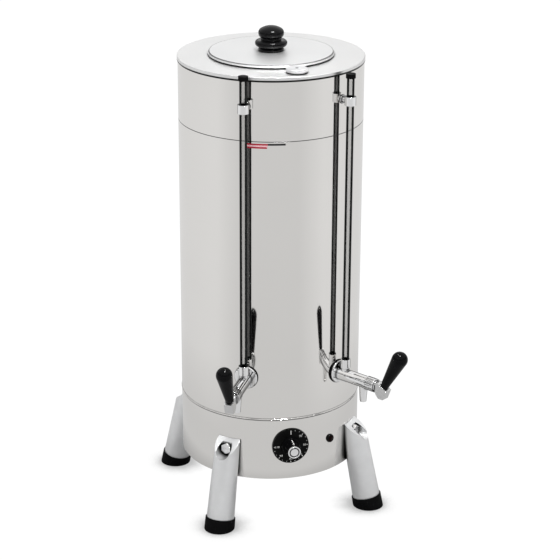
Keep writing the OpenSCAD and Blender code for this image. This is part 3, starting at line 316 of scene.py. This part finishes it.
# Painted shade line at the lid's crease, which runs inside its edge: (radius, half width, tone)
LID_SLOPE = 0.002
LID_SHADE_RINGS = [(solids["lid"].dimensions.x / 2 - LID_SLOPE, 0.001, 0.2)]
# The vent is in the middle of the fill cap, with a spot of painted shade around it
VENT_R = 0.003
cap_corners = [Vector(c) for c in solids["fill_cap"].bound_box]
vent_at = sum(cap_corners, Vector()) / len(cap_corners)

looks = {
    "shell": polished_sheet("polished_shell", STEEL, rough=(0.045, 0.075), lines=BANDED, corners=0.0025,
                            seams=BODY_SHADE_LINES),
    "deck": polished_sheet("polished_deck", (0.845, 0.845, 0.842), rough=(0.32, 0.4), lines=EVEN,
                           corners=0.006, seams=DECK_SHADE_LINES),
    "lid": polished_sheet("polished_lid", (0.72, 0.722, 0.722), rough=(0.44, 0.52), lines=EVEN,
                          corners=0.006, seams=LID_SHADE_LINES, rings=LID_SHADE_RINGS),
    "inner": polished_sheet("inner_steel", (0.72, 0.715, 0.7), rough=(0.2, 0.34), lines=BANDED,
                            corners=0.004),
    "chrome": plated("bright_chrome", (0.94, 0.94, 0.945), rough=(0.02, 0.045), grain_scale=700.0,
                     corners=0.007, rim=0.02),
    "cap": plated("plated_cap", (0.82, 0.82, 0.83), rough=(0.36, 0.44), grain_scale=700.0,
                  corners=0.006, shade_spot=((vent_at.x, vent_at.y, 0), VENT_R), seams=CAP_SHADE_LINES),
    "fastener": plated("zinc_steel", (0.72, 0.72, 0.73), rough=(0.12, 0.24), grain_scale=900.0),
    "cast": plated("satin_cast_aluminium", (0.8, 0.805, 0.81), rough=(0.36, 0.46), grain_scale=1500.0,
                   edge=0.0012, bump=0.06, corners=0.012, metallic=0.7),
    "lever": plated("tumbled_cast_aluminium", (0.72, 0.72, 0.72), rough=(0.26, 0.36), grain_scale=1300.0,
                    edge=0.0006, bump=0.05),
    "sheath": plated("heater_sheath", (0.42, 0.4, 0.39), rough=(0.3, 0.5), grain_scale=800.0),
    "brass": plated("turned_brass", (0.75, 0.58, 0.3), rough=(0.2, 0.34), grain_scale=900.0),
    "bakelite": moulded("black_bakelite", BAKELITE, rough=(0.04, 0.07), grain_scale=600.0,
                        bump=0.01, specular=0.08),
    "knob": moulded("satin_bakelite", BAKELITE, rough=(0.15, 0.21), grain_scale=600.0,
                    bump=0.015, specular=0.13),
    "plate": moulded("black_plate", (0.004, 0.004, 0.004), rough=(0.35, 0.45), grain_scale=1800.0,
                     bump=0.05, specular=0.06),
    "rubber": moulded("black_rubber", (0.003, 0.003, 0.0034), rough=(0.5, 0.68), grain_scale=1500.0,
                      bump=0.12, specular=0.06, edge=0.0008),
    "glass": gauge_glass("gauge_glass"),
    "lens": lens("dark_lens"),
    "white_ink": ink("white_ink", (0.82, 0.82, 0.8)),
    "red_ink": ink("red_ink", (0.42, 0.01, 0.03)),
    "pale_ink": ink("pale_ink", (0.86, 0.5, 0.54)),
    # black print, also used as painted shade in the knob cap's groove
    "black_ink": ink("black_ink", (0.012, 0.012, 0.012)),
}
wearers = {
    "shell": ["base_skirt", "body_shell", "upper_shell"],
    "deck": ["deck", "fill_neck"],
    "lid": ["lid"],
    "inner": ["coffee_tank", "boiler_floor", "bottom_cover", "coffee_outlet_pipe"],
    "cap": ["fill_cap"],
    "chrome": ["dial_knob_cap", "water_tap_body", "coffee_tap_body", "tap_bonnets", "gauge_nuts",
               "gauge_brackets", "leg_bolts"],
    "fastener": ["cover_screws", "lid_knob_screw", "leg_washers", "leg_nuts", "tap_washers", "water_spring",
                 "coffee_spring", "water_lever_pin", "coffee_lever_pin", "bracket_nuts", "dial_spindle"],
    "cast": ["leg_front_left", "leg_front_right", "leg_rear_left", "leg_rear_right"],
    "lever": ["water_lever", "coffee_lever"],
    "sheath": ["heating_element", "thermostat"],
    "brass": ["thermostat_bulb", "thermostat_nut", "tap_locknuts", "water_stem", "coffee_stem"],
    "bakelite": ["dial_knob", "water_handle", "coffee_handle"],
    "knob": ["lid_knob"],
    "plate": ["dial_plate", "pilot_lamp"],
    "lens": ["pilot_lens"],
    "rubber": ["cord_grommet", "foot_front_left", "foot_front_right", "foot_rear_left", "foot_rear_right",
               "tap_gaskets", "water_valve_seal", "coffee_valve_seal", "gauge_seals", "gauge_caps"],
    "glass": ["gauge_glasses"],
}
for look, names in wearers.items():
    for name in names:
        solids[name].data.materials.clear()
        solids[name].data.materials.append(looks[look])


# Pieces. Their shapes are given in millimetres, and their points are metres.

def piece(name, points, faces, look, body, smooth=True):
    """A mesh piece of points in metres, which rides on a body."""
    mesh = bpy.data.meshes.new(name)
    mesh.from_pydata([tuple(p) for p in points], [], faces)
    mesh.validate()
    mesh.materials.append(looks[look])
    made = bpy.data.objects.new(name, mesh)
    scene.collection.objects.link(made)
    if smooth:
        mesh.shade_smooth()
    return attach(made, body)


def skin(rings, sides, closed=False, turned=False):
    """Faces between rings of points; closed joins the last ring to the first, turned swaps front and back."""
    faces = []
    for i in range(rings if closed else rings - 1):
        this, after = sides * i, sides * ((i + 1) % rings)
        for j in range(sides):
            k = (j + 1) % sides
            face = (this + j, this + k, after + k, after + j)
            faces.append(face[:1] + face[:0:-1] if turned else face)
    return faces


def band(angles, z_from, z_to, r_from, r_to):
    """Points and faces of a thin closed strip that lies on the round wall."""
    corners = ((r_from, z_from), (r_to, z_from), (r_to, z_to), (r_from, z_to))
    points = [outward(a) * r * MM + UP * z * MM for a in angles for r, z in corners]
    last = 4 * (len(angles) - 1)
    ends = [(0, 1, 2, 3), (last + 3, last + 2, last + 1, last)]
    return points, skin(len(angles), 4, turned=True) + ends


def steps(start, end, count):
    return [start + (end - start) * i / count for i in range(count + 1)]


# Printed marks stand this far above their surface, from foot to top
INK_FOOT, INK_TOP = 0.02, 0.12

# Level mark beside the water gauge: a red stripe with a pale middle. A thin black strip goes on from it, below the
# upper seam.
MARK_STEPS = 24
for name, look, start, end, low, high in (
    ("level_mark_upper", "red_ink", -33.2, -20.4, 655.6, 658.0),
    ("level_mark_middle", "pale_ink", -33.2, -20.6, 652.9, 655.6),
    ("level_mark_lower", "red_ink", -33.2, -20.9, 650.3, 652.9),
    ("black_strip_under_seam", "black_ink", -20.4, -9.8, 655.4, 658.3),
):
    strip = band(steps(start, end, MARK_STEPS), low, high, BODY_R + INK_FOOT, BODY_R + INK_TOP)
    piece(name, *strip, look, "urn", smooth=False)


# Dial print: a zero mark at the top, ticks clockwise from it, and generic numbers
ZERO_MARK = (20.5, 28.0, 1.1)
LONG_TICK, SHORT_TICK = (26.6, 28.6, 0.9), (27.4, 28.6, 0.6)
TICK_STEP, LONG_STEP, DIAL_END = 15, 45, 270
NUMBER_R, NUMBER_SIZE, NUMBER_HALF = 23.2, 5.2, 0.05
NUMBERS = {45: "30", 90: "50", 135: "70", 180: "80", 225: "90", 270: "110"}
BOX_FACES = [(0, 1, 2, 3), (7, 6, 5, 4), (0, 4, 5, 1), (1, 5, 6, 2), (2, 6, 7, 3), (3, 7, 4, 0)]
dial_out, dial_side = outward(DIAL_ANGLE), sideways(DIAL_ANGLE)
dial_centre = dial_out * DIAL_FRONT * MM + UP * DIAL_Z * MM
dial_points, dial_faces = [], []


def on_dial(x, y, lift):
    """A point on the dial plate, from its centre."""
    return dial_centre + (dial_side * x + UP * y + dial_out * lift) * MM


def bar_on_dial(turn, r_from, r_to, width):
    """Points of a radial bar of ink on the dial plate, at a turn clockwise from the top."""
    t = math.radians(turn)
    along, across = (math.sin(t), math.cos(t)), (math.cos(t), -math.sin(t))
    half = width / 2
    corners = [
        (along[0] * r + across[0] * w, along[1] * r + across[1] * w)
        for r, w in ((r_from, -half), (r_to, -half), (r_to, half), (r_from, half))
    ]
    return [on_dial(x, y, lift) for lift in (INK_FOOT, INK_TOP) for x, y in corners]


def add_to_dial(points, faces):
    start = len(dial_points)
    dial_points.extend(points)
    dial_faces.extend(tuple(start + i for i in face) for face in faces)


def lettering(text, size):
    """Points and faces of flat text, centred."""
    curve = bpy.data.curves.new("lettering", "FONT")
    curve.body = text
    curve.size = size
    curve.align_x, curve.align_y = "CENTER", "CENTER"
    curve.extrude = NUMBER_HALF
    curve.resolution_u = 4
    holder = bpy.data.objects.new("lettering", curve)
    scene.collection.objects.link(holder)
    bpy.context.view_layer.update()
    mesh = holder.evaluated_get(bpy.context.evaluated_depsgraph_get()).to_mesh()
    made = [tuple(v.co) for v in mesh.vertices], [tuple(p.vertices) for p in mesh.polygons]
    bpy.data.objects.remove(holder)
    bpy.data.curves.remove(curve)
    return made


add_to_dial(bar_on_dial(0, *ZERO_MARK), BOX_FACES)
for turn in range(TICK_STEP, DIAL_END + 1, TICK_STEP):
    add_to_dial(bar_on_dial(turn, *(SHORT_TICK if turn % LONG_STEP else LONG_TICK)), BOX_FACES)
for turn, number in NUMBERS.items():
    t = math.radians(turn)
    flat, flat_faces = lettering(number, NUMBER_SIZE)
    x, y = NUMBER_R * math.sin(t), NUMBER_R * math.cos(t)
    add_to_dial([on_dial(x + p[0], y + p[1], INK_FOOT + NUMBER_HALF + p[2]) for p in flat], flat_faces)
piece("dial_print", dial_points, dial_faces, "white_ink", "urn", smooth=False)

# Index line on the knob's grip, at its top
INDEX_HALF, INDEX_DEPTH = 0.7, -0.4
INDEX_FROM, INDEX_TO = KNOB_FOOT + 0.6, KNOB_END - 0.4
index_corners = ((-INDEX_HALF, INDEX_DEPTH), (INDEX_HALF, INDEX_DEPTH), (INDEX_HALF, INK_TOP), (-INDEX_HALF, INK_TOP))
knob_line = [
    dial_out * x * MM + dial_side * width * MM + UP * (DIAL_Z + r + lift) * MM
    for x, r in ((INDEX_FROM, GRIP_FOOT_R), (INDEX_TO, GRIP_END_R))
    for width, lift in index_corners
]
piece("knob_index", knob_line, BOX_FACES, "white_ink", "dial_knob", smooth=False)


def disc_ring(centre, axis, side, radii, thick, count=48):
    """Points and faces of a flat closed ring."""
    corners = ((radii[0], 0), (radii[1], 0), (radii[1], thick), (radii[0], thick))
    points = []
    for i in range(count):
        t = 2 * math.pi * i / count
        radial = side * math.cos(t) + axis.cross(side) * math.sin(t)
        points += [centre + radial * r * MM + axis * lift * MM for r, lift in corners]
    return points, skin(count, 4, closed=True)


# Painted shade in the groove of the knob's cap: a black ring, a little narrower than the groove
RING_PLAY, RING_THICK = 0.03, 0.1
groove_centre = dial_out * (CAP_GROOVE + INK_FOOT) * MM + UP * DIAL_Z * MM
ring_radii = (CAP_GROOVE_R[0] + RING_PLAY, CAP_GROOVE_R[1] - RING_PLAY)
groove_shade_ring = disc_ring(groove_centre, dial_out, dial_side, ring_radii, RING_THICK)
piece("knob_cap_groove_shade", *groove_shade_ring, "black_ink", "dial_knob", smooth=False)

# Closing springs of the taps, with closed ends
SPRING_PLAY, SPRING_STEPS, WIRE_SIDES = 0.05, 30, 12


def wound_spring(angle, z):
    """Points and faces of a coil along a tap, at an angle from the front and a height."""
    axis, side = outward(angle), sideways(angle)
    count = SPRING_STEPS * SPRING_TURNS
    low, high = SPRING_FROM + SPRING_WIRE_R + SPRING_PLAY, SPRING_TO - SPRING_WIRE_R - SPRING_PLAY
    points = []
    for i in range(count + 1):
        share = i / count
        turn = 2 * math.pi * SPRING_TURNS * share
        centre_x = low + (high - low) * share
        radial = side * math.cos(turn) + UP * math.sin(turn)
        for j in range(WIRE_SIDES):
            t = 2 * math.pi * j / WIRE_SIDES
            x, r = centre_x + SPRING_WIRE_R * math.sin(t), SPRING_MEAN_R + SPRING_WIRE_R * math.cos(t)
            points.append((axis * x + radial * r + UP * z) * MM)
    ends = [tuple(range(WIRE_SIDES)), tuple(count * WIRE_SIDES + j for j in reversed(range(WIRE_SIDES)))]
    return points, skin(count + 1, WIRE_SIDES) + ends


for drink, (angle, z) in TAPS.items():
    spring = piece(f"{drink}_closing_spring", *wound_spring(angle, z), "fastener", "urn")
    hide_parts(f"{drink}_spring")
    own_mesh(spring)


# Studio, in metres

SQUARE = ((-1, -1), (1, -1), (1, 1), (-1, 1))
WORLD_SEEN, WORLD_LIGHT = 1.0, 0.55


def seen_white(tree):
    """1 for what the camera sees, straight, in metal or through glass, and the Light Path node."""
    path = tree.nodes.new("ShaderNodeLightPath")
    total = path.outputs["Is Camera Ray"]
    for ray in ("Is Glossy Ray", "Is Transmission Ray"):
        larger = tree.nodes.new("ShaderNodeMath")
        larger.operation = "MAXIMUM"
        tree.links.new(total, larger.inputs[0])
        tree.links.new(path.outputs[ray], larger.inputs[1])
        total = larger.outputs[0]
    return total, path


def background(tree, strength):
    made = tree.nodes.new("ShaderNodeBackground")
    made.inputs["Color"].default_value = (1, 1, 1, 1)
    made.inputs["Strength"].default_value = strength
    return made


# The world is white to the camera and in reflections, and lights the urn at a lower level
world = bpy.data.worlds.new("studio")
scene.world = world
world.use_nodes = True
sky = world.node_tree
sky.nodes.clear()
mixed = sky.nodes.new("ShaderNodeMixShader")
sky.links.new(seen_white(sky)[0], mixed.inputs["Fac"])
sky.links.new(background(sky, WORLD_LIGHT).outputs[0], mixed.inputs[1])
sky.links.new(background(sky, WORLD_SEEN).outputs[0], mixed.inputs[2])
sky.links.new(mixed.outputs[0], sky.nodes.new("ShaderNodeOutputWorld").inputs["Surface"])

# The floor is white to the camera, with painted soft shadows at the feet, and painted shade where the body mirrors it
FLOOR_HALF, FLOOR_GREY, FLOOR_SEEN = 30.0, 0.86, 1.04
SHADOW_REACH, SHADOW_TONE, SHADOW_LIGHT = 0.06, 0.5, (0.7, 0.9)
# Painted shade of the mirrored floor: its tone in front, what its sides and its back add, and the angles in radians
# of both
MIRROR_FRONT, MIRROR_SIDES, MIRROR_BACK = 0.67, 0.11, -0.04
SIDES_TURN, BACK_TURN = (0.6, 1.15), (1.35, 2.5)
# Distances from the urn's axis over which the sides set in, the tone rises, and the shade under the urn ends
SIDES_FAR = (0.45, 0.8)
RISE, RISE_FAR = (0.97, 1.02), (0.45, 1.6)
SHADE, SHADE_FAR = (0.45, 1.0), (0.2, 0.34)
floor_mesh = bpy.data.meshes.new("floor")
floor_mesh.from_pydata([(x * FLOOR_HALF, y * FLOOR_HALF, 0) for x, y in SQUARE], [], [(0, 1, 2, 3)])
floor = bpy.data.objects.new("floor", floor_mesh)
scene.collection.objects.link(floor)
paint = Shader("pale_floor")
contact = paint.between(paint.openness(SHADOW_REACH), SHADOW_TONE, 1.0, *SHADOW_LIGHT)
seen, path = seen_white(paint.tree)
coords = paint.add("ShaderNodeTexCoord").outputs["Object"]
far = paint.measure("LENGTH", coords)
across = paint.measure("DOT_PRODUCT", coords, sideways(VIEW_ANGLE))
along = paint.measure("DOT_PRODUCT", coords, outward(VIEW_ANGLE))
turned = paint.calc("ABSOLUTE", paint.calc("ARCTAN2", across, along))
sides = paint.times(paint.between(turned, 0.0, MIRROR_SIDES, *SIDES_TURN), paint.between(far, 0.0, 1.0, *SIDES_FAR))
back = paint.between(turned, 0.0, MIRROR_BACK, *BACK_TURN)
mirrored = paint.plus(paint.plus(sides, back), MIRROR_FRONT)
mirrored = paint.times(mirrored, paint.between(far, *RISE, *RISE_FAR))
mirrored = paint.times(mirrored, paint.between(far, *SHADE, *SHADE_FAR))
drop = paint.times(path.outputs["Is Glossy Ray"], paint.minus(FLOOR_SEEN, mirrored))
glow = paint.emit(paint.times(paint.minus(FLOOR_SEEN, drop), contact))
plain = paint.add("ShaderNodeBsdfDiffuse", {"Color": (*grey(FLOOR_GREY), 1)})
blend = paint.add("ShaderNodeMixShader", {"Fac": seen, 1: plain.outputs[0], 2: glow.outputs[0]})
paint.show(blend)
floor_mesh.materials.append(paint.material)


def softbox(name, place, aim, size, power):
    """A round soft lamp that doesn't show in reflections."""
    data = bpy.data.lights.new(name, "AREA")
    data.shape = "DISK"
    data.size = size
    data.energy = power
    made = bpy.data.objects.new(name, data)
    made.location = place
    made.rotation_mode = "QUATERNION"
    made.rotation_quaternion = (Vector(aim) - Vector(place)).to_track_quat("-Z", "Y")
    made.visible_glossy = False
    scene.collection.objects.link(made)


def card(name, points, faces, tone):
    """A studio card that only shows as a reflection in metal, plastic and glass."""
    mesh = bpy.data.meshes.new(name)
    mesh.from_pydata(points, [], faces)
    made = bpy.data.objects.new(name, mesh)
    made.visible_camera = made.visible_diffuse = made.visible_shadow = made.visible_transmission = False
    look = Shader(name)
    look.show(look.emit(tone))
    mesh.materials.append(look.material)
    scene.collection.objects.link(made)


def curtain(angles, low, high, closed=False):
    """Points and faces of an upright strip around the urn."""
    points = [outward(a) * WALL_R + UP * z for a in angles for z in (low, high)]
    count = len(angles)
    faces = []
    for i in range(count if closed else count - 1):
        n = (i + 1) % count
        faces.append((2 * i, 2 * i + 1, 2 * n + 1, 2 * n))
    return points, faces


# A dark wall all round, a dark flag in front above it, and a bright window at the key lamp
WALL_R, WALL_LOW, WALL_HIGH, WALL_COUNT = 4.5, 0.8, 1.5, 48
FLAG_LOW, FLAG_HIGH, FLAG_HALF, FLAG_STEPS = 2.0, 2.5, 100, 40
DARK, BRIGHT = 0.02, 110.0
KEY_AT, MIDDLE = (0.1, -0.85, 2.6), (0, 0, 0.4)
WINDOW_HALF, WINDOW_DROP = 0.25, 0.02
wall_angles = [360 * i / WALL_COUNT for i in range(WALL_COUNT)]
flag_angles = steps(VIEW_ANGLE - FLAG_HALF, VIEW_ANGLE + FLAG_HALF, FLAG_STEPS)
window_at = Vector(KEY_AT) - UP * WINDOW_DROP
card("dark_wall", *curtain(wall_angles, WALL_LOW, WALL_HIGH, closed=True), DARK)
card("front_flag", *curtain(flag_angles, FLAG_LOW, FLAG_HIGH), DARK)
card("window", [window_at + Vector((x, y, 0)) * WINDOW_HALF for x, y in SQUARE], [(0, 1, 2, 3)], BRIGHT)

softbox("key", KEY_AT, MIDDLE, size=0.55, power=26.0)
softbox("fill", (-2.4, -1.6, 1.7), MIDDLE, size=1.6, power=20.0)
softbox("rim", (1.9, 1.9, 1.9), MIDDLE, size=1.2, power=16.0)

# Camera, fitted to the photograph
CAMERA_AT = (-0.942089, -2.786008, 1.492213)
CAMERA_RIGHT = Vector((0.94613655, -0.32372759, 0.00510674))
CAMERA_UP = Vector((0.11032812, 0.33719705, 0.93494698))
camera_data = bpy.data.cameras.new("camera")
camera_data.sensor_width = 36.0
camera_data.lens = 120.72
camera_data.clip_start, camera_data.clip_end = 0.05, 200.0
camera = bpy.data.objects.new("camera", camera_data)
camera_axes = Matrix((CAMERA_RIGHT, CAMERA_UP, CAMERA_RIGHT.cross(CAMERA_UP))).transposed()
camera.matrix_world = Matrix.Translation(CAMERA_AT) @ camera_axes.to_4x4()
scene.collection.objects.link(camera)
scene.camera = camera
scene.view_settings.view_transform = "Standard"
